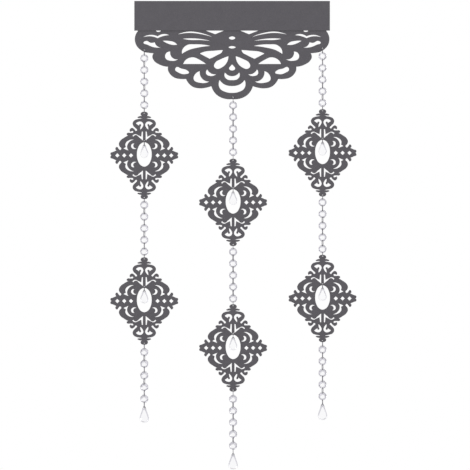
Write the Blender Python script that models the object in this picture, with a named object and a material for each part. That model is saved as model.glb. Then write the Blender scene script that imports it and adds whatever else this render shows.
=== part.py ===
"""Window valance: a cut-out lace sheet under a plain heading band, with three strings of
octagonal glass beads that carry six cut-out medallions and clear drops.

Metres, +Z up. The front faces -Y, and the origin is the middle of the heading's top edge.
Run it in Blender's text editor, or with blender --background --python part.py
"""

import math
from collections import namedtuple

import bmesh
import bpy
from mathutils import Matrix, Vector

MM = 0.001

# Cloth: the lace hangs just behind the heading
CLOTH = 1.5 * MM
LAYER_GAP = 0.3 * MM
LACE_Y = CLOTH + LAYER_GAP
HEADING_WIDTH = 350 * MM
HEADING_DROP = 53 * MM
CLOTH_HOLE = 1.3 * MM
HOLE_SIDES = 6
EDGE_TO_HOLE = 2.2 * MM

# Each string's place, and how far its pieces lie below the heading's top edge
String = namedtuple("String", "name across top_hole upper_centre lower_centre")
STRINGS = (
    String("left", -157.3 * MM, 87.7 * MM, 276.3 * MM, 537.1 * MM),
    String("centre", 1.8 * MM, 172.3 * MM, 360.5 * MM, 621.1 * MM),
    String("right", 162 * MM, 84.8 * MM, 271.8 * MM, 532.5 * MM),
)
MEDALLION_HALF = 78.2 * MM
OVAL_HALF_WIDTH = 13.3 * MM
OVAL_TOP = 23.6 * MM
OVAL_BOTTOM = 20.1 * MM
OVAL_SIDES = 16
DIAMONDS = (23.8 * MM, 35.9 * MM, 48.3 * MM)
DIAMOND_HALF = 3.8 * MM

# Wire rings, as radii of the wire's middle line and of the wire
WIRE = 0.6 * MM
BEAD_RING = 5.35 * MM
LAST_RING = 5.2 * MM
OVAL_RING = 4.2 * MM
CLOTH_RING_SIDES = 10
BEAD_RING_SIDES = 6

# Glass
BEADS_IN_RUN = 5
BEAD_SIDES = 8
BEAD_WIDTH = 14 * MM
BEAD_DEPTH = 7 * MM
BEAD_TABLE = 8 * MM
BEAD_HOLE = 5.1 * MM
Drop = namedtuple("Drop", "length width depth")
SMALL_DROP = Drop(24.2 * MM, 15 * MM, 8 * MM)
END_DROP = Drop(30 * MM, 17 * MM, 9 * MM)
DROP_HOLE = 2.2 * MM
DROP_TABLE = 0.52
DROP_BELLY = 0.62

# A drop's half outline, as shares of its half width and of its length. Its tables shrink
# towards its belly, which is a share of its length down.
DropMark = namedtuple("DropMark", "side down")
DROP_OUTLINE = (
    DropMark(0.25, 0), DropMark(0.65, 0.36), DropMark(1, 0.7), DropMark(0.66, 0.92), DropMark(0, 1),
)

# Outlines in millimetres: across from the middle, and along from the piece's zero line
Mark = namedtuple("Mark", "across along turn")
SHARP, ROUND = "sharp", "round"
LACE_STEP = math.radians(30)
MEDALLION_STEP = math.radians(180)


def marks(*rows):
    """Marks along an outline; a round one lies within a bend, a sharp one is a corner."""
    return [Mark(*row) for row in rows]


# One half of the lace, along downwards from the heading's top edge
LACE_EDGE = marks(
    (169, 40, SHARP), (169, 54, SHARP),
    (174.2, 66, ROUND), (170.3, 79.5, ROUND), (162, 87.4, ROUND), (155, 92.6, SHARP), (140.4, 94.3, SHARP),
    (142.8, 100.3, ROUND), (139.8, 107.5, ROUND), (130, 114.4, ROUND), (114.8, 118, SHARP),
    (114.8, 124.4, ROUND), (111.4, 131.2, ROUND), (102.8, 137.9, ROUND), (93, 139.9, ROUND),
    (82.6, 139.7, SHARP),
    (77.8, 146.9, ROUND), (70.6, 152.8, ROUND), (57.5, 155.9, ROUND), (46.7, 154.8, ROUND),
    (37.2, 152.2, SHARP),
    (33.8, 159.6, ROUND), (28.4, 166.4, ROUND), (20.4, 171.9, ROUND), (11.5, 175, ROUND),
    (0, 175.5, SHARP),
)
LACE_HOLES = {
    "double arch": marks(
        (159.5, 65, SHARP), (147, 60.4, ROUND), (133.3, 62.8, SHARP), (121, 58.2, ROUND),
        (113.4, 60.6, SHARP), (122, 62, ROUND), (133.3, 66.4, SHARP), (147, 62.9, ROUND)),
    "long slit": marks(
        (97.5, 60.8, SHARP), (76.6, 54.9, ROUND), (55, 57.4, ROUND),
        (34.5, 64.8, SHARP), (54, 59.9, ROUND), (76.6, 57.3, ROUND)),
    "short slit": marks(
        (88.5, 66.9, SHARP), (72, 66.2, ROUND), (40, 71.9, SHARP), (56, 70, ROUND), (77, 69.8, ROUND)),
    "fish": marks(
        (158.8, 74, ROUND), (154.2, 71, ROUND), (145.4, 74.6, ROUND), (138.6, 73.6, SHARP),
        (136.5, 78.4, ROUND), (124.9, 83.4, SHARP), (141, 83, ROUND), (151, 78.8, ROUND)),
    "leaf": marks(
        (124.4, 70.8, SHARP), (110.4, 71.9, ROUND), (97.3, 76.2, ROUND), (105.5, 79.1, ROUND),
        (114.8, 76.5, ROUND)),
    "side crescent": marks(
        (110.6, 90, SHARP), (120.2, 96.6, ROUND), (119.6, 102.7, ROUND), (108.4, 107.6, ROUND),
        (96, 104.6, SHARP), (106, 100.2, ROUND)),
    "long crescent": marks(
        (89.9, 95, SHARP), (89, 88.6, ROUND), (80.5, 79.2, ROUND), (66, 77.4, ROUND),
        (38.5, 80.4, SHARP), (60, 83.7, ROUND), (78, 88.4, ROUND)),
    "cell": marks(
        (58.3, 93.9, SHARP), (51, 90.8, ROUND), (31, 88.6, ROUND), (16.6, 87.4, SHARP), (17, 90.8, ROUND),
        (27, 97.2, ROUND), (40.2, 103.6, SHARP)),
    "half moon": marks(
        (88, 112.6, SHARP), (82.6, 104.6, ROUND), (71, 100.4, ROUND), (56.4, 106, ROUND),
        (46.2, 112.8, SHARP)),
    "petal": marks(
        (6.4, 98.6, SHARP), (19.5, 103.4, ROUND), (30.6, 110.2, ROUND), (32.9, 116.8, ROUND),
        (28.6, 121.6, ROUND), (17, 118.6, ROUND), (8.6, 108.7, ROUND)),
    "bean": marks(
        (100, 118, ROUND), (102.3, 122.4, ROUND), (95.6, 128.6, ROUND), (83.6, 131.1, ROUND),
        (77, 128, ROUND), (81, 123.4, ROUND), (91, 120.4, ROUND)),
    "lower crescent": marks(
        (57.7, 125.2, SHARP), (67.5, 132.6, ROUND), (69.3, 139.4, ROUND), (55.5, 147.2, ROUND),
        (40.4, 144.3, SHARP), (52.2, 139.6, ROUND)),
    "short crescent": marks(
        (44.4, 122.4, SHARP), (46.5, 130.4, ROUND), (39, 134.6, ROUND), (28.4, 131.1, SHARP),
        (38, 130.6, ROUND)),
    "hole under the heading": marks(
        (137, 52.4, ROUND), (132, 49, ROUND), (127, 52.4, ROUND), (132, 55.8, ROUND)),
    "arch under the heading": marks(
        (50.5, 51.5, SHARP), (30.5, 48, ROUND), (11.5, 51.5, SHARP), (30.3, 59.4, SHARP)),
}
# The left halves of the holes that cross the lace's middle line
LACE_MIDDLE_HOLES = {
    "upper oval": marks((0, 62.5, ROUND), (5.6, 66, ROUND), (0, 69.5, ROUND)),
    "lower oval": marks((0, 80.2, ROUND), (6.5, 82.6, ROUND), (0, 85, ROUND)),
    "teardrop": marks(
        (0, 113, SHARP), (2.7, 115.8, ROUND), (5.7, 121, ROUND), (0, 124.6, ROUND)),
    "small crescent": marks(
        (0, 141.9, ROUND), (9.6, 140, ROUND), (13.8, 134.4, ROUND), (12.6, 127.6, SHARP),
        (7.4, 132.6, ROUND), (0, 134.3, ROUND)),
    "large crescent": marks(
        (0, 164.9, ROUND), (12, 163.2, ROUND), (21.8, 157.2, ROUND), (24.4, 148, ROUND),
        (22.4, 141.2, SHARP), (14, 149.6, ROUND), (0, 152.2, ROUND)),
}

# One quarter of a medallion, along upwards from its centre
MEDALLION_EDGE = marks(
    (0, 78.2, ROUND), (6.2, 76.4, ROUND), (4.6, 71, SHARP),
    (11.8, 70.2, ROUND), (11.8, 67.4, ROUND), (4.8, 66.3, SHARP),
    (12, 64.8, ROUND), (18.2, 61.8, ROUND), (20.5, 57, ROUND), (18.8, 52.2, ROUND),
    (12.9, 45.6, ROUND), (14.6, 44, ROUND), (18, 47.6, ROUND),
    (21.8, 49.6, ROUND), (25.6, 46.8, ROUND), (24.2, 43.2, SHARP),
    (21, 42.8, SHARP), (29.6, 41.2, ROUND), (31.5, 39, ROUND), (28.4, 36.2, SHARP),
    (36, 32.2, ROUND), (42.6, 26.8, ROUND), (45.2, 20.4, ROUND), (41.2, 12, ROUND),
    (43, 9.8, ROUND), (48.8, 15.4, ROUND), (51.5, 14, ROUND), (49.9, 8.9, SHARP),
    (60.6, 4.2, ROUND), (58.8, 0, SHARP),
)
MEDALLION_HOLES = {
    "small crescent": marks(
        (18, 21, SHARP), (22.6, 20, ROUND), (23.6, 15.8, ROUND), (20.4, 12, ROUND),
        (14.8, 12.4, SHARP), (18.8, 15.4, ROUND)),
    "long crescent": marks(
        (18.8, 28.6, SHARP), (28, 27.6, ROUND), (34.4, 20.6, ROUND), (33.2, 16.2, SHARP),
        (37.4, 13.2, SHARP), (28, 8.8, SHARP), (31, 15, ROUND), (28, 24, ROUND)),
    "wing": marks(
        (21.4, 35.2, SHARP), (15.5, 38.4, ROUND), (6.6, 34.2, SHARP), (4.6, 42.6, SHARP),
        (2.5, 42.6, SHARP), (2.5, 27.6, SHARP), (15.2, 36.9, ROUND), (19.4, 33.8, SHARP)),
    "tulip": marks(
        (15, 57.4, SHARP), (7.8, 61.4, ROUND), (1.8, 55.6, ROUND), (7, 46.6, SHARP),
        (5.5, 54.9, ROUND), (7.2, 56.8, ROUND), (9.7, 53.4, SHARP)),
}


# Outlines

def heading_of(start, end):
    return math.atan2(end[1] - start[1], end[0] - start[0])


def turn_between(first, second):
    return math.remainder(second - first, math.tau)


def heading_through(before, point, after):
    """Heading at the middle one of three points, on the circle through them."""
    arriving, leaving = heading_of(before, point), heading_of(point, after)
    share = math.dist(before, point) / (math.dist(before, point) + math.dist(point, after))
    return arriving + share * turn_between(arriving, leaving)


def bend(start, end, start_heading, end_heading, step):
    """Points of a smooth bend, one for each step of its turning, without its end."""
    chord = heading_of(start, end)
    turning = abs(turn_between(start_heading, chord)) + abs(turn_between(chord, end_heading))
    count = max(1, math.ceil(turning / step - 0.01))
    reach = math.dist(start, end) / (3 * math.cos(min(turning, math.pi) / 4) ** 2)
    handle_1 = [start[0] + reach * math.cos(start_heading), start[1] + reach * math.sin(start_heading)]
    handle_2 = [end[0] - reach * math.cos(end_heading), end[1] - reach * math.sin(end_heading)]
    points = []
    for index in range(count):
        t = index / count
        weights = ((1 - t) ** 3, 3 * (1 - t) ** 2 * t, 3 * (1 - t) * t ** 2, t ** 3)
        corners = (start, handle_1, handle_2, end)
        points.append(tuple(sum(w * c[k] for w, c in zip(weights, corners)) for k in (0, 1)))
    return points


def side(line, step):
    """Points of a smooth line from one corner to the next, without that next corner."""
    if len(line) == 2:
        return line[:1]
    headings = [heading_through(*line[k - 1:k + 2]) for k in range(1, len(line) - 1)]
    first, last = heading_of(*line[:2]), heading_of(*line[-2:])
    headings.insert(0, first - turn_between(first, headings[0]))
    headings.append(last + turn_between(headings[-1], last))
    points = []
    for k in range(len(line) - 1):
        points += bend(line[k], line[k + 1], headings[k], headings[k + 1], step)
    return points


def closed_outline(rows, step):
    """Points of a closed outline through its marks, in metres."""
    spots = [(row.across * MM, row.along * MM) for row in rows]
    size = len(spots)
    corners = [k for k, row in enumerate(rows) if row.turn == SHARP]
    points = []
    for corner, following in zip(corners, corners[1:] + corners[:1]):
        count = (following - corner - 1) % size + 2
        points += side([spots[(corner + i) % size] for i in range(count)], step)
    if not corners:
        headings = [heading_through(spots[k - 1], spots[k], spots[(k + 1) % size]) for k in range(size)]
        for k in range(size):
            following = (k + 1) % size
            points += bend(spots[k], spots[following], headings[k], headings[following], step)
    return points


def ellipse(across, along, half_width, half_height, count):
    angles = [math.tau * k / count for k in range(count)]
    return [(across + half_width * math.cos(a), along + half_height * math.sin(a)) for a in angles]


def hole_at(across, along):
    return ellipse(across, along, CLOTH_HOLE, CLOTH_HOLE, HOLE_SIDES)


def both_sides(rows):
    """The marks of one half and their mirror images past the middle line."""
    return rows + [row._replace(across=-row.across) for row in reversed(rows) if row.across > 0]


def other_side(rows):
    return [row._replace(across=-row.across) for row in rows]


def downwards(points):
    return [(across, -along) for across, along in points]


def lace_outlines():
    outlines = [downwards(closed_outline(both_sides(LACE_EDGE), LACE_STEP))]
    for rows in LACE_HOLES.values():
        outlines.append(downwards(closed_outline(rows, LACE_STEP)))
        outlines.append(downwards(closed_outline(other_side(rows), LACE_STEP)))
    for rows in LACE_MIDDLE_HOLES.values():
        outlines.append(downwards(closed_outline(both_sides(rows), LACE_STEP)))
    for string in STRINGS:
        outlines.append(hole_at(string.across, -string.top_hole))
    return outlines


def medallion_outlines():
    lower_left = [row._replace(along=-row.along) for row in reversed(MEDALLION_EDGE) if row.along > 0]
    outlines = [closed_outline(both_sides(MEDALLION_EDGE + lower_left), MEDALLION_STEP)]
    for rows in MEDALLION_HOLES.values():
        quarter = closed_outline(rows, MEDALLION_STEP)
        for sideways in (1, -1):
            for upwards in (1, -1):
                outlines.append([(sideways * across, upwards * along) for across, along in quarter])
    middle, half = (OVAL_TOP - OVAL_BOTTOM) / 2, (OVAL_TOP + OVAL_BOTTOM) / 2
    outlines.append(ellipse(0, middle, OVAL_HALF_WIDTH, half, OVAL_SIDES))
    for across in DIAMONDS:
        outlines.append(ellipse(across, 0, DIAMOND_HALF, DIAMOND_HALF, 4))
        outlines.append(ellipse(-across, 0, DIAMOND_HALF, DIAMOND_HALF, 4))
    for along in (MEDALLION_HALF - EDGE_TO_HOLE, OVAL_TOP + EDGE_TO_HOLE, EDGE_TO_HOLE - MEDALLION_HALF):
        outlines.append(hole_at(0, along))
    return outlines


# Objects, placed under the hinge that carries them

def material(name, colour, roughness, metallic=0.0, transmission=0.0):
    made = bpy.data.materials.new(name)
    made.use_nodes = True
    shader = made.node_tree.nodes["Principled BSDF"]
    shader.inputs["Base Color"].default_value = (*colour, 1)
    shader.inputs["Roughness"].default_value = roughness
    shader.inputs["Metallic"].default_value = metallic
    shader.inputs["Transmission Weight"].default_value = transmission
    return made


def world_origin(obj):
    return obj.location + world_origin(obj.parent) if obj else Vector()


def place(name, data, at, parent):
    """An object at a point of the model, under a parent that isn't turned."""
    obj = bpy.data.objects.new(name, data)
    VALANCE.objects.link(obj)
    obj.parent = parent
    obj.location = Vector(at) - world_origin(parent)
    return obj


def hinge(name, at, parent):
    """An empty on a joint's axis, which runs along X."""
    return place(f"{name}_hinge", None, at, parent)


def cut_cloth(name, outlines):
    """Cloth cut along its outlines, the first of them its edge and the rest its holes."""
    curve = bpy.data.curves.new(name, "CURVE")
    curve.dimensions = "2D"
    curve.fill_mode = "BOTH"
    curve.extrude = CLOTH / 2
    for points in outlines:
        spline = curve.splines.new("POLY")
        spline.points.add(len(points) - 1)
        spline.use_cyclic_u = True
        for spot, (across, along) in zip(spline.points, points):
            spot.co = (across, along, 0, 1)
    curve.materials.append(CLOTH_MATERIAL)
    return curve


def place_cloth(name, curve, at, parent):
    obj = place(name, curve, at, parent)
    obj.rotation_euler.x = math.pi / 2
    return obj


# Glass and wire solids

def add_glass(bm, girdle, depth, table, centre=(0, 0)):
    """A solid that is widest at its girdle, with a smaller flat table in front and behind.

    girdle holds (x, z) points; table is the share that the outline shrinks to, about centre.
    """
    loops = []
    for y, share in ((-depth / 2, table), (0, 1), (depth / 2, table)):
        loops.append([
            bm.verts.new((centre[0] + share * (x - centre[0]), y, centre[1] + share * (z - centre[1])))
            for x, z in girdle
        ])
    bm.faces.new(loops[0])
    bm.faces.new(reversed(loops[-1]))
    for front, back in zip(loops, loops[1:]):
        for k in range(len(girdle)):
            bm.faces.new((front[k - 1], back[k - 1], back[k], front[k]))


def add_ring(bm, z, radius, steps):
    """A round wire ring in the plane of Y and Z."""
    section = Matrix.Translation((0, 0, z - radius)) @ Matrix.Rotation(math.pi / 2, 4, "Y")
    section = section @ Matrix.Rotation(math.pi / 2, 4, "X")
    circle = bmesh.ops.create_circle(bm, segments=4, radius=WIRE, matrix=section)
    edges = list({edge for vert in circle["verts"] for edge in vert.link_edges})
    bmesh.ops.spin(bm, geom=circle["verts"] + edges, cent=(0, 0, z), axis=(1, 0, 0),
                   angle=math.tau, steps=steps, use_merge=True)


def finished(bm, name):
    bmesh.ops.recalc_face_normals(bm, faces=bm.faces)
    mesh = bpy.data.meshes.new(name)
    bm.to_mesh(mesh)
    bm.free()
    return mesh


def combined(name, base, other, operation):
    """The mesh of one solid joined with another, or cut by it."""
    solid = bpy.data.objects.new(name, base)
    tool = bpy.data.objects.new(f"{name}_tool", other)
    for obj in (solid, tool):
        bpy.context.scene.collection.objects.link(obj)
    boolean = solid.modifiers.new("Boolean", "BOOLEAN")
    boolean.operation = operation
    boolean.object = tool
    evaluated = solid.evaluated_get(bpy.context.evaluated_depsgraph_get())
    mesh = bpy.data.meshes.new_from_object(evaluated)
    for obj in (solid, tool):
        bpy.data.objects.remove(obj)
    mesh.name = name
    return mesh


def bead_girdle():
    corner = BEAD_WIDTH / 2 / math.cos(math.pi / BEAD_SIDES)
    angles = [(k + 0.5) * math.tau / BEAD_SIDES for k in range(BEAD_SIDES)]
    return [(corner * math.cos(a), corner * math.sin(a)) for a in angles]


def drop_mesh(name, drop):
    """A flat pear of glass, with its origin in the hole near its tip."""
    half = [(mark.side * drop.width / 2, DROP_HOLE - mark.down * drop.length) for mark in DROP_OUTLINE]
    girdle = half + [(-x, z) for x, z in reversed(half) if x > 0]
    body = bmesh.new()
    add_glass(body, girdle, drop.depth, DROP_TABLE, centre=(0, DROP_HOLE - DROP_BELLY * drop.length))
    hole = bmesh.new()
    bmesh.ops.create_cone(hole, cap_ends=True, segments=HOLE_SIDES, radius1=CLOTH_HOLE, radius2=CLOTH_HOLE,
                          depth=2 * drop.depth, matrix=Matrix.Rotation(math.pi / 2, 4, "X"))
    mesh = combined(name, finished(body, name), finished(hole, name), "DIFFERENCE")
    mesh.materials.append(GLASS_MATERIAL)
    return mesh


def ring_mesh(name, radius):
    bm = bmesh.new()
    add_ring(bm, 0, radius, CLOTH_RING_SIDES)
    mesh = finished(bm, name)
    mesh.materials.append(WIRE_MATERIAL)
    return mesh


def run_mesh(name, end_ring):
    """Beads and rings in a row, with its origin at the first ring's middle, and its length.

    The length is from the middle of the first ring to the middle of the last one.
    """
    beads, rings = bmesh.new(), bmesh.new()
    add_ring(rings, 0, end_ring, CLOTH_RING_SIDES)
    z = -end_ring
    for index in range(BEADS_IN_RUN):
        z -= BEAD_HOLE
        girdle = [(x, z + up) for x, up in bead_girdle()]
        add_glass(beads, girdle, BEAD_DEPTH, BEAD_TABLE / BEAD_WIDTH, centre=(0, z))
        z -= BEAD_HOLE
        last = index == BEADS_IN_RUN - 1
        radius, sides = (end_ring, CLOTH_RING_SIDES) if last else (BEAD_RING, BEAD_RING_SIDES)
        add_ring(rings, z - radius, radius, sides)
        z -= radius if last else 2 * radius
    mesh = combined(name, finished(beads, name), finished(rings, name), "UNION")
    mesh.materials.append(GLASS_MATERIAL)
    return mesh, -z


# The valance

def build_heading():
    bpy.ops.mesh.primitive_cube_add(size=1, location=(0, 0, -HEADING_DROP / 2))
    heading = bpy.context.object
    heading.name = "heading"
    heading.scale = (HEADING_WIDTH, CLOTH, HEADING_DROP)
    bpy.ops.object.transform_apply(location=False, rotation=False, scale=True)
    heading.data.materials.append(CLOTH_MATERIAL)
    heading.users_collection[0].objects.unlink(heading)
    VALANCE.objects.link(heading)


def hang_string(string, medallion, oval_ring, small_drop, end_drop):
    """Three bead runs with a medallion after the first two and a drop at the end."""
    x, y = string.across, LACE_Y
    carrier, hole = None, -string.top_hole
    beads_and_rings = 2 * BEADS_IN_RUN * BEAD_HOLE + 2 * (BEADS_IN_RUN - 1) * BEAD_RING
    for level, down in ((1, string.upper_centre), (2, string.lower_centre)):
        centre = -down
        reach = MEDALLION_HALF - EDGE_TO_HOLE
        end_ring = (hole - centre - reach - beads_and_rings) / 4
        name = f"{string.name}_run_{level}"
        mesh, length = run_mesh(name, end_ring)
        run = hinge(name, (x, y, hole - end_ring), carrier)
        place(name, mesh, (x, y, hole - end_ring), run)

        name = f"{string.name}_medallion_{level}"
        carrier = hinge(name, (x, y, hole - end_ring - length), run)
        place_cloth(name, medallion, (x, y, centre), carrier)

        name = f"{string.name}_oval_drop_{level}"
        ring_middle = centre + OVAL_TOP + EDGE_TO_HOLE - OVAL_RING
        swing = hinge(name, (x, y, ring_middle), carrier)
        place(f"{string.name}_oval_ring_{level}", oval_ring, (x, y, ring_middle), swing)
        place(name, small_drop, (x, y, ring_middle - OVAL_RING), swing)
        hole = centre - reach

    name = f"{string.name}_run_3"
    mesh, length = run_mesh(name, LAST_RING)
    run = hinge(name, (x, y, hole - LAST_RING), carrier)
    place(name, mesh, (x, y, hole - LAST_RING), run)
    ring_middle = hole - LAST_RING - length
    name = f"{string.name}_end_drop"
    swing = hinge(name, (x, y, ring_middle), run)
    place(name, end_drop, (x, y, ring_middle - LAST_RING), swing)


for old in list(bpy.data.objects):
    bpy.data.objects.remove(old)

VALANCE = bpy.data.collections.new("window_valance")
bpy.context.scene.collection.children.link(VALANCE)
CLOTH_MATERIAL = material("grey_cloth", (0.119, 0.114, 0.122), 0.85)
GLASS_MATERIAL = material("clear_glass", (0.93, 0.94, 0.96), 0.03, transmission=1.0)
WIRE_MATERIAL = material("bright_wire", (0.6, 0.6, 0.62), 0.2, metallic=1.0)

build_heading()
place_cloth("lace", cut_cloth("lace", lace_outlines()), (0, LACE_Y, 0), None)
shared = (
    cut_cloth("medallion", medallion_outlines()),
    ring_mesh("oval_ring", OVAL_RING),
    drop_mesh("small_drop", SMALL_DROP),
    drop_mesh("end_drop", END_DROP),
)
for string in STRINGS:
    hang_string(string, *shared)
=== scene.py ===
"""Looks of the window valance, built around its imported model.

Metres, +Z up. The front faces -Y, and the origin is the middle of the heading's top edge.
Each piece stands for the nodes that it replaces, in the same place and at the same size.
"""

import math
from collections import namedtuple

import bmesh
import bpy
from bpy.props import FloatProperty, FloatVectorProperty, PointerProperty
from mathutils import Matrix, Vector


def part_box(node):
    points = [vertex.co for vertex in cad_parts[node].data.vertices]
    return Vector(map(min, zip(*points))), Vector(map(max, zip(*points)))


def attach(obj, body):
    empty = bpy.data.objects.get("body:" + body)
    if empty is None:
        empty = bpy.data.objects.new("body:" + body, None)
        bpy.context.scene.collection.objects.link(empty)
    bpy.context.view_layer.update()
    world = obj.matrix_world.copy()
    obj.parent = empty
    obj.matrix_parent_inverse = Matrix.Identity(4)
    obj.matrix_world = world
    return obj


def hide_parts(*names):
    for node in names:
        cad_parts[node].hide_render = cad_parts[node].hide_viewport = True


bl_info = {
    "name": "Window Valance",
    "version": (1, 0, 0),
    "blender": (4, 5, 0),
    "location": "3D View > Sidebar > Valance",
    "description": "Cut-out felt valance with strings of glass beads, medallions and drops",
    "category": "Add Mesh",
}

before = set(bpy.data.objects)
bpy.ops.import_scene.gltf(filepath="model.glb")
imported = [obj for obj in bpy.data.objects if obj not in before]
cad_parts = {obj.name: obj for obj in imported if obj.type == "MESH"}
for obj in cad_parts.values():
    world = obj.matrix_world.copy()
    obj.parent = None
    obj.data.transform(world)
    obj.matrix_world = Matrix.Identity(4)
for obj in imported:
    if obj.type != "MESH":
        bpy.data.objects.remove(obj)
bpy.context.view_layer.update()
ROOT = "valance"
SIDES = ("left", "centre", "right")
LEVELS = (1, 2)
RUNS = (1, 2, 3)
MM = 0.001
SAME_SPOT = 0.01 * MM
SAME_FACET = math.radians(0.5)
SMOOTH_ANGLE = math.radians(50)

# Cloth
EDGE_TO_HOLE = 2.2 * MM
CLOTH_HOLE = 1.05 * MM
OVAL_HALF_WIDTH = 13.3 * MM
OVAL_TOP = 23.6 * MM
OVAL_BOTTOM = 20.1 * MM
DIAMONDS = (23.8 * MM, 35.9 * MM, 48.3 * MM)
DIAMOND_HALF = 3.8 * MM
ELLIPSE_MARKS = 12
HOLE_MARKS = 4
CLOTH_GRID = 6 * MM
# Straight steps from one mark of an outline to the next
LACE_STEPS = 8
MEDALLION_STEPS = 6
# A face is part of a cut edge where its normal points less than this to the front or back
CUT_EDGE_NORMAL = 0.9
# Heading and lace wave from this far below the top edge, and fully this much further down
WAVE_START = 10 * MM
WAVE_GROWTH = 165 * MM
Wave = namedtuple("Wave", "length phase share")
WAVES = (Wave(230 * MM, 0.8, 1), Wave(137 * MM, 2.1, 0.5))

# Fibres on the felt's face: the way that some of them lie, as an angle, and their length
Fibre = namedtuple("Fibre", "turn length")
FIBRES = (Fibre(0.2, 3.4 * MM), Fibre(0.95, 2.8 * MM), Fibre(1.75, 3.1 * MM), Fibre(2.5, 2.6 * MM))
FIBRE_WIDTH = 0.35 * MM
FIBRE_DEPTH = 3 * FIBRE_WIDTH

# Wire
WIRE_SIDES = 10
RING_STEPS = 40
# The gap between the two ends of a ring's wire
RING_SPLIT = math.radians(1.5)
BEAD_RING = 5.35 * MM
OVAL_RING = 4.2 * MM
CAD_WIRE = 0.6 * MM
# How far the rings of a run are turned, as shares of the twist
TWISTS = (1, -0.9, 0.8, -1, 0.9, -0.8)

# Beads
BEADS_IN_RUN = 5
BEAD_SIDES = 8
BEAD_WIDTH = 14 * MM
BEAD_DEPTH = 7 * MM
BEAD_GIRDLE = 0.8 * MM
BEAD_HOLE = 5.1 * MM
# Where a bead's kites meet, as a share of the radius midway between girdle and table
KITE_SHARE = 0.95
# The hole is drilled this much further out than the wire's middle
BEAD_DRILL_OUT = 0.15 * MM
DRILL = 0.95 * MM
DRILL_SIDES = 16
DRILL_LENGTH = 2 * BEAD_WIDTH

# Drops
DROP_HOLE = 2.2 * MM
DROP_TIP = 2.3 * MM
DROP_GIRDLE = 0.6 * MM
DROP_SIDES = 16
# The height that a drop's facets close in on, above its bottom, as a share of its half width
DROP_FOCUS = 1.12
# A loop of corners on a drop's face: its size and its reach towards the tip, as shares of the girdle's,
# its height as a share of half the depth, and its turn as a share of one side
DropLoop = namedtuple("DropLoop", "size reach height turn")
DROP_SHOULDER = DropLoop(0.96, 0.75, 0.6, 0.5)
# The table's reach falls this far short of its size
TABLE_SHORTER = 0.1

# Camera and light, with the photo's middle and side in its pixels
PHOTO_SCALE = 1.79 * MM
PHOTO_SIDE = 470
PHOTO_MIDDLE = Vector((2.9, 0, -234)) * PHOTO_SCALE
LENS = 120
SENSOR = 36
# The studio pales over a range of cosines to one way, and by a share of that to the opposite way
BRIGHT_WAY = (0.24, 0.94, 0.24)
BRIGHT_SPREAD = (0.45, 0.97)
FRONT_SHARE = 0.35
Lamp = namedtuple("Lamp", "name at size share")
LAMPS = (
    Lamp("front_lamp", Vector((-1.7, -1.9, 0.1)), 1.4, 1),
    Lamp("side_lamp", Vector((1.9, -1.1, 0.1)), 1.2, 0.3),
)

# Floor
FLOOR_Z = -2.3
FLOOR_RADIUS = 9
FLOOR_SIDES = 96

# Sockets of the Mix node, whose colours share their names with its numbers
MIX_SHARE, MIX_FIRST, MIX_SECOND, MIX_RESULT = 0, 6, 7, 2

# Outlines in millimetres: across from the middle, and along from the piece's zero line
Mark = namedtuple("Mark", "across along turn")
SHARP, ROUND = "sharp", "round"


def marks(*rows):
    """Marks along an outline; a round one lies within a bend, a sharp one is a corner."""
    return [Mark(*row) for row in rows]


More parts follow.
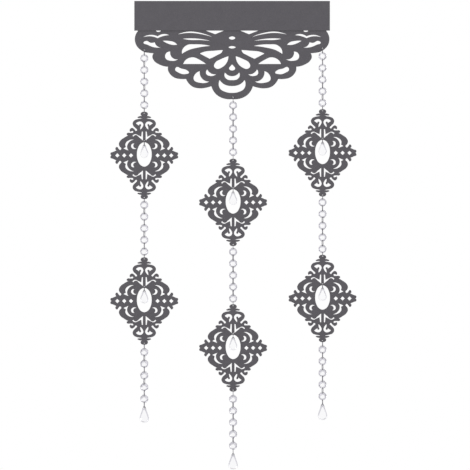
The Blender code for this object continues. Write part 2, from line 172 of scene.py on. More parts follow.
# One half of the lace, along downwards from the heading's top edge
LACE_EDGE = marks(
    (169, 40, SHARP), (169, 54, SHARP),
    (174.2, 66, ROUND), (171.4, 79.3, ROUND), (164.4, 87, ROUND), (157.2, 91, ROUND),
    (149.4, 92.5, ROUND), (140.6, 93.3, SHARP),
    (142.8, 100.3, ROUND), (139.4, 107.2, ROUND), (129.6, 113.9, ROUND), (114.8, 117.5, SHARP),
    (114.6, 124.3, ROUND), (111, 130.9, ROUND), (102.5, 137.4, ROUND), (93, 139.4, ROUND),
    (82.6, 139.4, SHARP),
    (77.9, 147.2, ROUND), (70.8, 153.2, ROUND), (57.5, 156.2, ROUND), (46.7, 155.1, ROUND),
    (37.2, 152.3, SHARP),
    (34.1, 159.8, ROUND), (28.8, 166.7, ROUND), (20.7, 172.2, ROUND), (11.6, 175.1, ROUND),
    (0, 175.5, SHARP),
)
LACE_HOLES = {
    "double arch": marks(
        (160, 64.8, SHARP), (147, 60.4, ROUND), (133.3, 63, SHARP), (121, 58.8, ROUND),
        (112.6, 61, SHARP), (122, 62.2, ROUND), (133.3, 66.4, SHARP), (147, 62.9, ROUND)),
    "long slit": marks(
        (98.6, 60, SHARP), (77.4, 54.5, ROUND), (55, 57.2, ROUND),
        (34.5, 64.6, SHARP), (54, 59.4, ROUND), (77, 56.9, ROUND)),
    "short slit": marks(
        (88.8, 67.4, SHARP), (71, 66.6, ROUND), (38, 71.4, SHARP), (56, 69.7, ROUND), (77, 69.4, ROUND)),
    "fish": marks(
        (158.6, 74, ROUND), (154.2, 71.2, ROUND), (145.4, 74.6, ROUND), (138.6, 73.6, SHARP),
        (136.5, 78.4, ROUND), (124.9, 82.8, SHARP), (141, 82.3, ROUND), (151, 78.3, ROUND)),
    "leaf": marks(
        (124.4, 70.9, SHARP), (113, 71.2, ROUND), (104.4, 73.2, ROUND), (98.4, 78, SHARP),
        (104.8, 78.5, ROUND), (115, 76, ROUND)),
    "side crescent": marks(
        (110.8, 90.3, SHARP), (119.9, 96.8, ROUND), (119.2, 102.2, ROUND), (108.4, 107, ROUND),
        (96.6, 104.2, SHARP), (108.7, 99.5, ROUND)),
    "long crescent": marks(
        (89.7, 94.4, SHARP), (89.4, 88, ROUND), (81.2, 78.9, ROUND), (66, 77.3, ROUND),
        (38.5, 80.2, SHARP), (60, 83, ROUND), (78, 87.7, ROUND)),
    "cell": marks(
        (58, 93.9, SHARP), (51, 91, ROUND), (31, 88.6, ROUND), (16.8, 87.5, SHARP), (18.2, 91, ROUND),
        (27.4, 97, ROUND), (40.2, 103.2, SHARP)),
    "half moon": marks(
        (87.6, 112.6, SHARP), (82.4, 104.8, ROUND), (71, 100.6, ROUND), (56.6, 106, ROUND),
        (46.8, 112.6, SHARP)),
    "petal": marks(
        (6.6, 98.6, SHARP), (19.5, 103.6, ROUND), (30.4, 110.4, ROUND), (32.4, 116.6, ROUND),
        (28.4, 120.8, ROUND), (17.4, 118.1, ROUND), (8.9, 108.6, ROUND)),
    "bean": marks(
        (99.8, 118.3, ROUND), (102, 122.4, ROUND), (95.5, 128.2, ROUND), (83.6, 130.7, ROUND),
        (77.3, 128, ROUND), (81.2, 123.7, ROUND), (91, 120.8, ROUND)),
    "lower crescent": marks(
        (57.9, 125.4, SHARP), (67.3, 132.6, ROUND), (69, 139.2, ROUND), (55.5, 146.6, ROUND),
        (40.8, 143.9, SHARP), (53.4, 139.2, ROUND)),
    "short crescent": marks(
        (44.4, 122.4, SHARP), (46.3, 130.2, ROUND), (39, 134.1, ROUND), (28.8, 130.9, SHARP),
        (37.6, 129.5, ROUND)),
    "hole under the heading": marks(
        (136.4, 52.2, ROUND), (132, 49, ROUND), (127.6, 52.2, ROUND), (132, 55.2, ROUND)),
    "arch under the heading": marks(
        (50.5, 51.5, SHARP), (30.5, 48, ROUND), (11.5, 51.5, SHARP), (30.3, 59.2, SHARP)),
}
# One half of each hole that crosses the lace's middle line
LACE_MIDDLE_HOLES = {
    "upper oval": marks(
        (0, 63.1, ROUND), (3.6, 64, ROUND), (5.7, 66, ROUND), (3.6, 68, ROUND), (0, 68.9, ROUND)),
    "lower oval": marks(
        (0, 80.4, ROUND), (4, 81.1, ROUND), (6.2, 82.6, ROUND), (4, 84.1, ROUND), (0, 84.8, ROUND)),
    "teardrop": marks(
        (0, 113.4, SHARP), (2.6, 116, ROUND), (5.4, 120.8, ROUND), (0, 124.2, ROUND)),
    "small crescent": marks(
        (0, 141.5, ROUND), (9.5, 139.6, ROUND), (13.5, 134.3, ROUND), (12.6, 127.8, SHARP),
        (7.4, 132.6, ROUND), (0, 134.3, ROUND)),
    "large crescent": marks(
        (0, 164.3, ROUND), (11.9, 162.5, ROUND), (21.4, 156.8, ROUND), (24, 148, ROUND),
        (22.3, 141.2, SHARP), (14.4, 148.8, ROUND), (0, 152, ROUND)),
}

# One quarter of a medallion, along upwards from its centre
MEDALLION_EDGE = marks(
    (0, 78.2, ROUND), (5, 77, ROUND), (6.6, 74.2, ROUND), (4, 70.6, SHARP),
    (10.4, 69.5, ROUND), (12.3, 68.2, ROUND), (10.8, 67, ROUND), (7.4, 67, ROUND), (4, 66.6, SHARP),
    (7.6, 65.7, ROUND), (13.2, 64.7, ROUND), (18.5, 62.1, ROUND), (20.9, 57.3, ROUND), (19.5, 52.7, ROUND),
    (15.4, 48.5, ROUND), (13, 45.4, ROUND), (14.6, 43.9, ROUND), (18, 47.2, ROUND),
    (21.8, 49.3, ROUND), (25.2, 47.6, ROUND), (26.2, 44.5, ROUND), (25, 42.1, SHARP),
    (22.7, 43.4, ROUND), (20.6, 43.7, SHARP), (19.8, 41.9, ROUND), (21.3, 40.5, SHARP), (25.6, 40.4, ROUND),
    (29.6, 40.4, ROUND), (31.6, 38.6, ROUND), (28.3, 36.1, SHARP),
    (35.8, 31.9, ROUND), (42.7, 26.6, ROUND), (45.5, 20.3, ROUND), (44.2, 16, ROUND),
    (41.2, 12, ROUND), (43, 9.8, ROUND), (46.4, 12.5, ROUND), (48.8, 15.2, ROUND),
    (51.3, 13.7, ROUND), (49.9, 8.9, SHARP), (56, 6.2, ROUND), (60.6, 4, ROUND), (58.8, 0, SHARP),
)
MEDALLION_HOLES = {
    "small crescent": marks(
        (17.8, 21, SHARP), (22.5, 20, ROUND), (23.5, 15.8, ROUND), (20.4, 12, ROUND),
        (13.8, 12.7, SHARP), (18.8, 14.3, ROUND), (19.8, 17.5, ROUND)),
    "long crescent": marks(
        (18.6, 28.2, SHARP), (27.6, 27, ROUND), (33.8, 20.4, ROUND), (32.8, 15.2, SHARP),
        (37.2, 12.4, SHARP), (28.2, 8.7, SHARP), (30.8, 15, ROUND), (27.4, 23.5, ROUND)),
    "wing": marks(
        (21.3, 35, SHARP), (15.7, 38, ROUND), (10.8, 35.9, ROUND), (5.4, 33.4, SHARP), (4.4, 42.5, SHARP),
        (2.5, 42.8, SHARP), (2.5, 26.7, SHARP), (9, 32.3, ROUND), (15.3, 36.6, ROUND),
        (19.4, 33.7, SHARP)),
    "tulip": marks(
        (15, 57.2, SHARP), (10.4, 60.3, ROUND), (5.2, 60.2, ROUND), (1.7, 55.5, ROUND),
        (3.2, 50.6, ROUND), (7.2, 46.2, SHARP), (6.8, 51.2, ROUND), (5.6, 54.6, ROUND),
        (6.9, 56.1, ROUND), (9.1, 53.2, SHARP)),
}


class ValanceCloth(bpy.types.PropertyGroup):
    thickness: FloatProperty(
        name="Thickness", description="How thick the felt is", default=1.5 * MM, min=1 * MM, max=3 * MM,
        subtype="DISTANCE", unit="LENGTH")
    edge_rounding: FloatProperty(
        name="Edge Rounding", description="How far the felt's cut edges are rounded off", default=0.2 * MM,
        min=0.05 * MM, max=0.4 * MM, subtype="DISTANCE", unit="LENGTH")
    wave: FloatProperty(
        name="Wave", description="How far the lace's lower edge waves to the front and back",
        default=0.7 * MM, min=0, max=3 * MM, subtype="DISTANCE", unit="LENGTH")
    colour: FloatVectorProperty(
        name="Colour", description="The felt's mean colour", default=(0.119, 0.1145, 0.119), min=0, max=1,
        subtype="COLOR")
    fibre_colour: FloatVectorProperty(
        name="Fibre Colour", description="The palest fibres on the felt's face",
        default=(0.165, 0.158, 0.168), min=0, max=1, subtype="COLOR")


class ValanceGlass(bpy.types.PropertyGroup):
    bead_table: FloatProperty(
        name="Bead Table", description="Width of the flat in the middle of a bead's face",
        default=5.6 * MM, min=4 * MM, max=10 * MM, subtype="DISTANCE", unit="LENGTH")
    drop_table: FloatProperty(
        name="Drop Table", description="Size of the flat on a drop's face, as a share of the drop",
        default=0.8, min=0.2, max=0.9, subtype="FACTOR")
    index: FloatProperty(
        name="Refraction", description="Refractive index of the glass", default=1.54, min=1.4, max=1.8)
    colour: FloatVectorProperty(
        name="Colour", description="The glass's faint tint", default=(0.97, 0.97, 0.985), min=0, max=1,
        subtype="COLOR")


class ValanceWire(bpy.types.PropertyGroup):
    radius: FloatProperty(
        name="Wire Radius", description="Radius of the rings' wire", default=0.6 * MM, min=0.3 * MM,
        max=0.8 * MM, subtype="DISTANCE", unit="LENGTH")
    twist: FloatProperty(
        name="Twist", description="How far the rings between beads hang turned about their upright axis",
        default=math.radians(8), min=0, max=math.radians(12), subtype="ANGLE", unit="ROTATION")
    colour: FloatVectorProperty(
        name="Colour", description="Colour of the nickel plating", default=(0.27, 0.265, 0.28), min=0,
        max=1, subtype="COLOR")


class ValanceStage(bpy.types.PropertyGroup):
    floor_colour: FloatVectorProperty(
        name="Floor Colour", description="Colour of the floor", default=(0.94, 0.94, 0.93), min=0, max=1,
        subtype="COLOR")
    surround: FloatProperty(
        name="Surround", description="Brightness of the studio behind the valance", default=1.0, min=0,
        max=5)
    shade: FloatVectorProperty(
        name="Shade", description="Colour of the studio to the sides of the valance",
        default=(0.62, 0.61, 0.675), min=0, max=5, subtype="COLOR")
    lamp: FloatProperty(
        name="Lamp", description="Power of the large soft lamp", default=15, min=0, max=500,
        subtype="POWER", unit="POWER")


class ValanceSettings(bpy.types.PropertyGroup):
    cloth: PointerProperty(name="Cloth", description="The felt pieces", type=ValanceCloth)
    glass: PointerProperty(name="Glass", description="The beads and drops", type=ValanceGlass)
    wire: PointerProperty(name="Wire", description="The wire rings", type=ValanceWire)
    stage: PointerProperty(name="Stage", description="Floor, light and camera", type=ValanceStage)


# Outlines

def direction_of(start, end):
    return math.atan2(end.y - start.y, end.x - start.x)


def turn_between(first, second):
    return math.remainder(second - first, math.tau)


def direction_through(before, point, after):
    """The direction at the middle one of three points, on the circle through them."""
    arriving, leaving = direction_of(before, point), direction_of(point, after)
    share = (point - before).length / ((point - before).length + (after - point).length)
    return arriving + share * turn_between(arriving, leaving)


def directions(spots, corners):
    """The outline's direction into each mark and out of it."""
    size = len(spots)
    through = [direction_through(spots[k - 1], spots[k], spots[(k + 1) % size]) for k in range(size)]
    pairs = []
    for k in range(size):
        if not corners[k]:
            pairs.append((through[k], through[k]))
            continue
        following = (k + 1) % size
        arriving = direction_of(spots[k - 1], spots[k])
        leaving = direction_of(spots[k], spots[following])
        if not corners[k - 1]:
            arriving += turn_between(through[k - 1], arriving)
        if not corners[following]:
            leaving -= turn_between(leaving, through[following])
        pairs.append((arriving, leaving))
    return pairs


def unit(angle):
    return Vector((math.cos(angle), math.sin(angle)))


def add_outline(curve, rows, along_sign=1):
    """Adds a closed smooth line through the marks of an outline, with its corners kept."""
    spots = [Vector((row.across, along_sign * row.along)) * MM for row in rows]
    ways = directions(spots, [row.turn == SHARP for row in rows])
    spline = curve.splines.new("BEZIER")
    spline.bezier_points.add(len(spots) - 1)
    spline.use_cyclic_u = True
    points = spline.bezier_points
    for point, spot in zip(points, spots):
        point.handle_left_type = point.handle_right_type = "FREE"
        point.co = spot.to_3d()
    for k, spot in enumerate(spots):
        following = (k + 1) % len(spots)
        leaving, arriving = ways[k][1], ways[following][0]
        chord = direction_of(spot, spots[following])
        turning = abs(turn_between(leaving, chord)) + abs(turn_between(chord, arriving))
        reach = (spots[following] - spot).length / (3 * math.cos(min(turning, math.pi) / 4) ** 2)
        points[k].handle_right = (spot + reach * unit(leaving)).to_3d()
        points[following].handle_left = (spots[following] - reach * unit(arriving)).to_3d()


def mirrored(rows):
    return [row._replace(across=-row.across) for row in rows]


def both_sides(rows):
    """The marks of one half and their mirror images past the middle line."""
    return rows + mirrored([row for row in reversed(rows) if row.across > 0])


def ellipse(across, along, half_width, half_height, count):
    """Round marks on an ellipse that is given in metres."""
    return [
        Mark((across + half_width * math.cos(turn)) / MM, (along + half_height * math.sin(turn)) / MM, ROUND)
        for turn in (math.tau * k / count for k in range(count))
    ]


def diamond(across, half):
    rows = ((across + half, 0), (across, half), (across - half, 0), (across, -half))
    return [Mark(x / MM, z / MM, SHARP) for x, z in rows]


# Meshes

def add_object(name, data):
    """A new object of the scene, at the origin."""
    obj = bpy.data.objects.new(name, data)
    bpy.context.scene.collection.objects.link(obj)
    return obj


def upright(at):
    """Stands a flat shape upright at a point, with its face to the front."""
    return Matrix.Translation(at) @ Matrix.Rotation(math.pi / 2, 4, "X")


def new_cloth(name, steps):
    """A flat curve that cut_cloth turns into a sheet of felt."""
    curve = bpy.data.curves.new(name, "CURVE")
    curve.dimensions = "2D"
    curve.fill_mode = "BOTH"
    curve.resolution_u = steps
    return curve


def cut_cloth(curve, cloth, at, wave=None):
    """The sheet that a flat curve cuts, stood upright with the curve's zero point at a place.

    Its cut edges are rounded. wave gives how far each of its points moves to the back, if any does.
    """
    curve.bevel_depth = cloth.edge_rounding
    curve.bevel_resolution = 1
    curve.offset = -cloth.edge_rounding
    curve.extrude = cloth.thickness / 2 - cloth.edge_rounding
    holder = bpy.data.objects.new(curve.name, curve)
    mesh = bpy.data.meshes.new_from_object(holder)
    mesh.name = curve.name
    bm = bmesh.new()
    bm.from_mesh(mesh)
    bmesh.ops.remove_doubles(bm, verts=bm.verts, dist=SAME_SPOT)
    bmesh.ops.transform(bm, verts=bm.verts, matrix=upright(at))
    if wave:
        cut_grid(bm, CLOTH_GRID)
    bmesh.ops.dissolve_degenerate(bm, dist=SAME_SPOT, edges=bm.edges)
    bmesh.ops.recalc_face_normals(bm, faces=bm.faces)
    layer = bm.faces.layers.float.new("cut_edge")
    for face in bm.faces:
        face[layer] = float(abs(face.normal.y) < CUT_EDGE_NORMAL)
    if wave:
        for vert in bm.verts:
            vert.co.y += wave(vert.co)
    bm.to_mesh(mesh)
    bm.free()
    bpy.data.objects.remove(holder)
    bpy.data.curves.remove(curve)
    mesh.shade_smooth()
    mesh.set_sharp_from_angle(angle=SMOOTH_ANGLE)
    return mesh


def cut_grid(bm, size):
    """Cuts every face along a grid of squares in X and Z."""
    for axis in (Vector((1, 0, 0)), Vector((0, 0, 1))):
        reach = [vert.co.dot(axis) for vert in bm.verts]
        for step in range(math.ceil(min(reach) / size), math.floor(max(reach) / size) + 1):
            geometry = bm.verts[:] + bm.edges[:] + bm.faces[:]
            bmesh.ops.bisect_plane(bm, geom=geometry, plane_co=axis * step * size, plane_no=axis,
                                   dist=SAME_SPOT)


def to_mesh(bm, name):
    mesh = bpy.data.meshes.new(name)
    bm.to_mesh(mesh)
    bm.free()
    return mesh


def moved_copies(pattern, places, name):
    """A mesh with one copy of a pattern at each place."""
    bm = bmesh.new()
    for at in places:
        before = len(bm.verts)
        bm.from_mesh(pattern)
        bm.verts.ensure_lookup_table()
        bmesh.ops.translate(bm, verts=bm.verts[before:], vec=at)
    return to_mesh(bm, name)


def loop_of_points(bm, radius, sides, turn, at):
    """Adds points on an upright circle that faces the front, the first of them turned from straight up."""
    turned = upright(at) @ Matrix.Rotation(turn, 4, "Z")
    bmesh.ops.create_circle(bm, segments=sides, radius=radius, matrix=turned)


def cut_glass(bm):
    """Spans facets over the points of a bmesh, each of them one flat face."""
    hull = bmesh.ops.convex_hull(bm, input=bm.verts)
    inside = hull["geom_interior"] + hull["geom_unused"]
    spare = {item for item in inside if isinstance(item, bmesh.types.BMVert)}
    bmesh.ops.delete(bm, geom=list(spare), context="VERTS")
    bmesh.ops.dissolve_limit(bm, angle_limit=SAME_FACET, verts=bm.verts, edges=bm.edges)
    bmesh.ops.recalc_face_normals(bm, faces=bm.faces)


def drilled(bm, places, name):
    """A mesh of a solid with round holes drilled through it from front to back."""
    drill = bmesh.new()
    for at in places:
        bmesh.ops.create_cone(
            drill, cap_ends=True, segments=DRILL_SIDES, radius1=DRILL, radius2=DRILL, depth=DRILL_LENGTH,
            matrix=upright(at))
    body = add_object(name, to_mesh(bm, name))
    tool = add_object(f"{name}_drill", to_mesh(drill, f"{name}_drill"))
    boolean = body.modifiers.new("Drill", "BOOLEAN")
    boolean.operation = "DIFFERENCE"
    boolean.object = tool
    finished = body.evaluated_get(bpy.context.evaluated_depsgraph_get())
    mesh = bpy.data.meshes.new_from_object(finished)
    mesh.name = name
    for obj in (body, tool):
        spent = obj.data
        bpy.data.objects.remove(obj)
        bpy.data.meshes.remove(spent)
    return mesh


def bead_mesh(glass):
    """An octagonal bead with a flat table, kite facets round it and a thin girdle, on both sides."""
    corner = 1 / math.cos(math.pi / BEAD_SIDES)
    half_turn = math.pi / BEAD_SIDES
    girdle, table = BEAD_WIDTH / 2 * corner, glass.bead_table / 2 * corner
    middle = (girdle + table) / 2 * KITE_SHARE
    share = (middle / corner - table) / (girdle - table)
    bm = bmesh.new()
    for front in (-1, 1):
        table_y, girdle_y = front * BEAD_DEPTH / 2, front * BEAD_GIRDLE / 2
        middle_y = table_y + share * (girdle_y - table_y)
        loop_of_points(bm, table, BEAD_SIDES, half_turn, (0, table_y, 0))
        loop_of_points(bm, middle, BEAD_SIDES, 0, (0, middle_y, 0))
        loop_of_points(bm, girdle, BEAD_SIDES, half_turn, (0, girdle_y, 0))
    cut_glass(bm)
    hole = BEAD_HOLE + BEAD_DRILL_OUT
    return drilled(bm, [(0, 0, hole), (0, 0, -hole)], "bead")


def drop_mesh(name, glass, width, depth, length):
    """A flat pear of glass with its origin in the hole near its thin tip."""
    belly = width / 2
    bottom = DROP_HOLE - length
    focus = bottom + DROP_FOCUS * belly
    girdle = DropLoop(1, 1, DROP_GIRDLE / depth, 0)
    table = DropLoop(glass.drop_table, glass.drop_table - TABLE_SHORTER, 1, 0)
    bm = bmesh.new()
    for front in (-1, 1):
        for loop in (girdle, DROP_SHOULDER, table):
            y = front * loop.height * depth / 2
            tip = focus * (1 - loop.reach)
            middle = focus + loop.size * (bottom + belly - focus)
            turned = loop.turn * math.tau / DROP_SIDES
            loop_of_points(bm, loop.size * DROP_TIP, DROP_SIDES, turned, (0, y, tip))
            loop_of_points(bm, loop.size * belly, DROP_SIDES, turned, (0, y, middle))
    cut_glass(bm)
    return drilled(bm, [(0, 0, 0)], name)


def add_ring(bm, at, radius, wire, turn):
    """Adds a round wire ring that stands front to back, turned about its upright axis.

    Its two ends meet at the back.
    """
    turned = Matrix.Translation(at) @ Matrix.Rotation(turn, 4, "Z")
    start = turned @ Matrix.Rotation(RING_SPLIT / 2, 4, "X") @ Matrix.Translation((0, radius, 0))
    section = bmesh.ops.create_circle(bm, segments=WIRE_SIDES, radius=wire, matrix=start)
    edges = list(dict.fromkeys(edge for vert in section["verts"] for edge in vert.link_edges))
    bmesh.ops.spin(bm, geom=section["verts"] + edges, cent=at, axis=turned.to_3x3() @ Vector((1, 0, 0)),
                   angle=math.tau - RING_SPLIT, steps=RING_STEPS)


def rings_mesh(name, rings, wire, twist=0):
    """Wire rings, given as middles and radii; those between two others hang turned a little."""
    bm = bmesh.new()
    for index, (at, radius) in enumerate(rings):
        between = 0 < index < len(rings) - 1
        turn = twist * TWISTS[index % len(TWISTS)] if between else 0
        add_ring(bm, at, radius, wire, turn)
    bmesh.ops.holes_fill(bm, edges=bm.edges, sides=WIRE_SIDES)
    bmesh.ops.recalc_face_normals(bm, faces=bm.faces)
    mesh = to_mesh(bm, name)
    mesh.shade_smooth()
    mesh.set_sharp_from_angle(angle=SMOOTH_ANGLE)
    return mesh


# Places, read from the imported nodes

def middle_of(node):
    low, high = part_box(node)
    return (low + high) / 2


def run_of(side, level):
    """The places of a run's beads, and its rings as middles and radii, from the top down."""
    low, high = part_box(f"{side}_run_{level}")
    at = (low + high) / 2
    inner = 2 * BEADS_IN_RUN * BEAD_HOLE + 2 * (BEADS_IN_RUN - 1) * BEAD_RING
    end_ring = (high.z - low.z - 2 * CAD_WIRE - inner) / 4
    z = high.z - CAD_WIRE - 2 * end_ring
    beads, rings = [], [(Vector((at.x, at.y, z + end_ring)), end_ring)]
    for index in range(BEADS_IN_RUN):
        beads.append(Vector((at.x, at.y, z - BEAD_HOLE)))
        z -= 2 * BEAD_HOLE
        radius = end_ring if index == BEADS_IN_RUN - 1 else BEAD_RING
        rings.append((Vector((at.x, at.y, z - radius)), radius))
        z -= 2 * radius
    return beads, rings


# Materials

class Nodes:
    """Adds the nodes of a material or a world, each with its values and links."""

    def __init__(self, owner, shader="Principled BSDF"):
        owner.use_nodes = True
        self.tree = owner.node_tree
        self.shader = self.tree.nodes[shader]

    def add(self, kind, links=(), **values):
        node = self.tree.nodes.new(f"ShaderNode{kind}")
        for name, value in values.items():
            setattr(node, name, value)
        for socket, source in links:
            if isinstance(source, bpy.types.NodeSocket):
                self.tree.links.new(source, node.inputs[socket])
            else:
                node.inputs[socket].default_value = source
        return node

    def place(self, turn, stretch):
        """The piece's own coordinates, measured along turned and stretched axes."""
        where = self.add("TexCoord").outputs["Object"]
        links = [("Vector", where), ("Rotation", turn), ("Scale", stretch)]
        return self.add("Mapping", links, vector_type="TEXTURE").outputs["Vector"]

    def noise(self, scale, detail, place=None, distortion=0.0):
        where = place or self.place(turn=(0, 0, 0), stretch=(1, 1, 1))
        links = [("Vector", where), ("Scale", scale), ("Detail", detail), ("Distortion", distortion)]
        return self.add("TexNoise", links).outputs["Fac"]

    def spread(self, value, low, high, to_low=0.0, to_high=1.0, way="LINEAR"):
        """A number spread from one range over another."""
        ends = [("From Min", low), ("From Max", high), ("To Min", to_low), ("To Max", to_high)]
        return self.add("MapRange", [("Value", value), *ends], interpolation_type=way).outputs["Result"]

    def combine(self, operation, first, second):
        return self.add("Math", [(0, first), (1, second)], operation=operation).outputs[0]

    def scaled(self, value, by):
        return self.combine("MULTIPLY", value, by)

    def mix(self, share, first, second):
        """A colour between two, each a plain colour or another node's."""
        links = [(MIX_SHARE, share)]
        for socket, colour in ((MIX_FIRST, first), (MIX_SECOND, second)):
            linked = isinstance(colour, bpy.types.NodeSocket)
            links.append((socket, colour if linked else (*colour, 1)))
        return self.add("Mix", links, data_type="RGBA").outputs[MIX_RESULT]

    def link(self, socket, source):
        self.tree.links.new(source, self.shader.inputs[socket])

    def set_numbers(self, **values):
        """Plain numbers for the shader, under its sockets' names."""
        for name, value in values.items():
            self.shader.inputs[name.replace("_", " ")].default_value = value

    def bump(self, height, distance, strength):
        links = [("Height", height), ("Distance", distance), ("Strength", strength)]
        self.link("Normal", self.add("Bump", links).outputs["Normal"])


def felt_material(name, cloth):
    """Pressed felt: tangled pale fibres over a mottled ground with painted shade among its clumps, sealed a
    little darker where it is cut.
    """
    material = bpy.data.materials.new(name)
    felt = Nodes(material)
    mottle = felt.spread(felt.noise(scale=60, detail=4), low=0.3, high=0.7)
    clumps = felt.noise(scale=520, detail=5, distortion=0.6)
    fibres = None
    for turn, length in FIBRES:
        place = felt.place(turn=(0, turn, 0), stretch=(length, FIBRE_DEPTH, FIBRE_WIDTH))
        streaks = felt.noise(scale=1, detail=1, place=place, distortion=1.2)
        strand = felt.spread(streaks, low=0.58, high=0.7)
        fibres = strand if fibres is None else felt.combine("MAXIMUM", fibres, strand)
    edge = felt.add("Attribute", attribute_name="cut_edge").outputs["Fac"]

    colour = Vector(cloth.colour)
    # The mottle's dark and pale, the painted shade colour and the sealed cut edge's colour, as shares of the
    # felt's colour
    dark, pale, painted_shade_colour, cut = (colour * share for share in (0.95, 1.04, 0.8, 0.78))
    ground = felt.mix(mottle, dark, pale)
    # Painted shade: the ground darkens towards 0.8 of the felt's colour where the clump noise is high
    painted_shade_share = felt.spread(clumps, low=0.35, high=0.65, to_high=0.35)
    ground = felt.mix(painted_shade_share, ground, painted_shade_colour)
    face = felt.mix(felt.scaled(fibres, by=0.45), ground, Vector(cloth.fibre_colour))
    felt.link("Base Color", felt.mix(felt.scaled(edge, by=0.6), face, cut))
    felt.link("Roughness", felt.spread(clumps, low=0.3, high=0.7, to_low=0.84, to_high=0.96))
    felt.set_numbers(Sheen_Weight=0.12, Sheen_Roughness=0.6, Specular_IOR_Level=0.25)
    relief = felt.combine("ADD", fibres, felt.scaled(clumps, by=0.8))
    felt.bump(relief, distance=0.12 * MM, strength=0.5)
    return material


def glass_material(name, glass):
    """Clear cut glass with a faint uneven film of dust and handling."""
    material = bpy.data.materials.new(name)
    clear = Nodes(material)
    dusty, clean = Vector(glass.colour) * 0.985, Vector((1, 1, 1))
    clear.link("Base Color", clear.mix(clear.noise(scale=45, detail=2), dusty, clean))
    film = clear.noise(scale=700, detail=4)
    clear.link("Roughness", clear.spread(film, low=0.4, high=0.75, to_high=0.05))
    clear.set_numbers(Transmission_Weight=1.0, IOR=glass.index)
    return material


def wire_material(name, wire):
    """Nickel-plated wire, a little duller where it has been handled, with fine drawing marks."""
    material = bpy.data.materials.new(name)
    nickel = Nodes(material)
    bright, worn = (Vector(wire.colour) * share for share in (1.08, 0.78))
    wear = nickel.spread(nickel.noise(scale=900, detail=4), low=0.35, high=0.7)
    nickel.link("Base Color", nickel.mix(wear, bright, worn))
    nickel.link("Roughness", nickel.spread(wear, low=0, high=1, to_low=0.16, to_high=0.38))
    nickel.set_numbers(Metallic=1.0)
    nickel.bump(nickel.noise(scale=4000, detail=2), distance=0.02 * MM, strength=0.3)
    return material


def floor_material(name, stage):
    """Pale matte plaster."""
    material = bpy.data.materials.new(name)
    plaster = Nodes(material)
    dark, pale = (Vector(stage.floor_colour) * share for share in (0.98, 1.01))
    patches = plaster.noise(scale=3, detail=5)
    plaster.link("Base Color", plaster.mix(patches, dark, pale))
    plaster.link("Roughness", plaster.spread(patches, low=0.3, high=0.7, to_low=0.7, to_high=0.85))
    plaster.bump(plaster.noise(scale=160, detail=5), distance=0.3 * MM, strength=0.2)
    return material


def shared_material(name, make, settings):
    """The material of that name, made only once."""
    return bpy.data.materials.get(name) or make(name, settings)


def felt_of(settings):
    return shared_material("grey_felt", felt_material, settings.cloth)


def glass_of(settings):
    return shared_material("clear_glass", glass_material, settings.glass)


def wire_of(settings):
    return shared_material("nickel_wire", wire_material, settings.wire)


# Pieces

def add_piece(name, mesh, body, material, node):
    """A piece that rides on a body, stands for a node and takes its finish from a slot."""
    piece = add_object(name, mesh)
    mesh.materials.clear()
    mesh.materials.append(material)
    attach(piece, body)
    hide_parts(node)
    return piece


def hanging_wave(cloth):
    """A rule for how far heading and lace lie to the back at a point, in long uneven waves."""
    whole = sum(share for length, phase, share in WAVES)

    def wave(point):
        down = min(max((-point.z - WAVE_START) / WAVE_GROWTH, 0), 1)
        along = sum(share * math.sin(math.tau * point.x / length + phase) for length, phase, share in WAVES)
        return cloth.wave * down * along / whole
    return wave


# Operators

class VALANCE_OT_heading(bpy.types.Operator):
    """Adds the plain felt band that the lace is sewn behind"""
    bl_idname = "valance.heading"
    bl_label = "Heading Band"
    bl_options = {"REGISTER", "UNDO"}

    def execute(self, context):
        settings = context.scene.valance
        low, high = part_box("heading")
        half, drop = high.x / MM, (high.z - low.z) / MM
        corners = ((half, 0), (half, -drop), (-half, -drop), (-half, 0))
        curve = new_cloth("heading_band", steps=1)
        add_outline(curve, [Mark(across, along, SHARP) for across, along in corners])
        at = Vector((0, middle_of("heading").y, 0))
        mesh = cut_cloth(curve, settings.cloth, at, hanging_wave(settings.cloth))
        band = add_piece("heading_band", mesh, ROOT, felt_of(settings), "heading")
        return {"FINISHED"}


class VALANCE_OT_lace(bpy.types.Operator):
    """Adds the cut-out lace sheet with its scalloped lower edge"""
    bl_idname = "valance.lace"
    bl_label = "Lace"
    bl_options = {"REGISTER", "UNDO"}

    def execute(self, context):
        settings = context.scene.valance
        curve = new_cloth("lace_panel", LACE_STEPS)
        add_outline(curve, both_sides(LACE_EDGE), -1)
        for rows in LACE_HOLES.values():
            add_outline(curve, rows, -1)
            add_outline(curve, mirrored(rows), -1)
        for rows in LACE_MIDDLE_HOLES.values():
            add_outline(curve, both_sides(rows), -1)
        for side in SIDES:
            _, rings = run_of(side, 1)
            at, radius = rings[0]
            add_outline(curve, ellipse(at.x, at.z + radius, CLOTH_HOLE, CLOTH_HOLE, HOLE_MARKS))
        at = Vector((0, middle_of("lace").y, 0))
        mesh = cut_cloth(curve, settings.cloth, at, hanging_wave(settings.cloth))
        panel = add_piece("lace_panel", mesh, ROOT, felt_of(settings), "lace")
        return {"FINISHED"}


